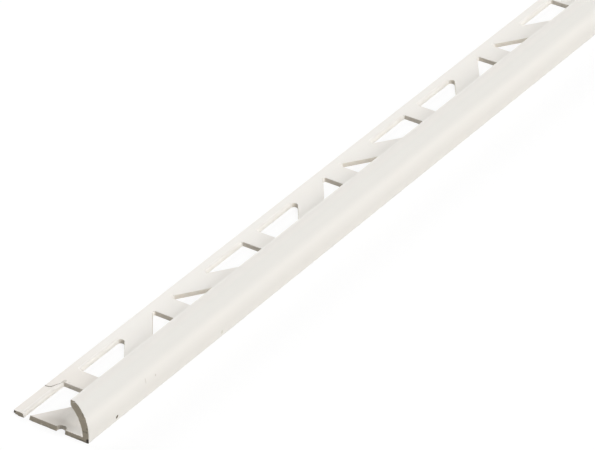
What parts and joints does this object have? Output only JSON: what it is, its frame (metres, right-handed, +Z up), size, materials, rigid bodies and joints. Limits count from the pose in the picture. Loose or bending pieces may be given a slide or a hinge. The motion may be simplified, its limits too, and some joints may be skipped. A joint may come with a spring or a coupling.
{
  "type": "tile cap trim",
  "caption": "White PVC edge trim for tiling: a flat leg punched with keying holes, and a rounded wall that curls back over it to a square lip for the tile's edge.",
  "frame": {"origin": "on the underside, below the middle of the trim's outline", "axes": "+X along the length, -Y out of the rounded face, +Y towards the leg's free edge, +Z up from the wall that the leg is bedded on"},
  "size_m": [1, 0.0206, 0.01],
  "materials": {
    "white_pvc": "satin"
  },
  "bodies": {
    "root": {"tile_trim": "white_pvc"}
  },
  "joints": []
}
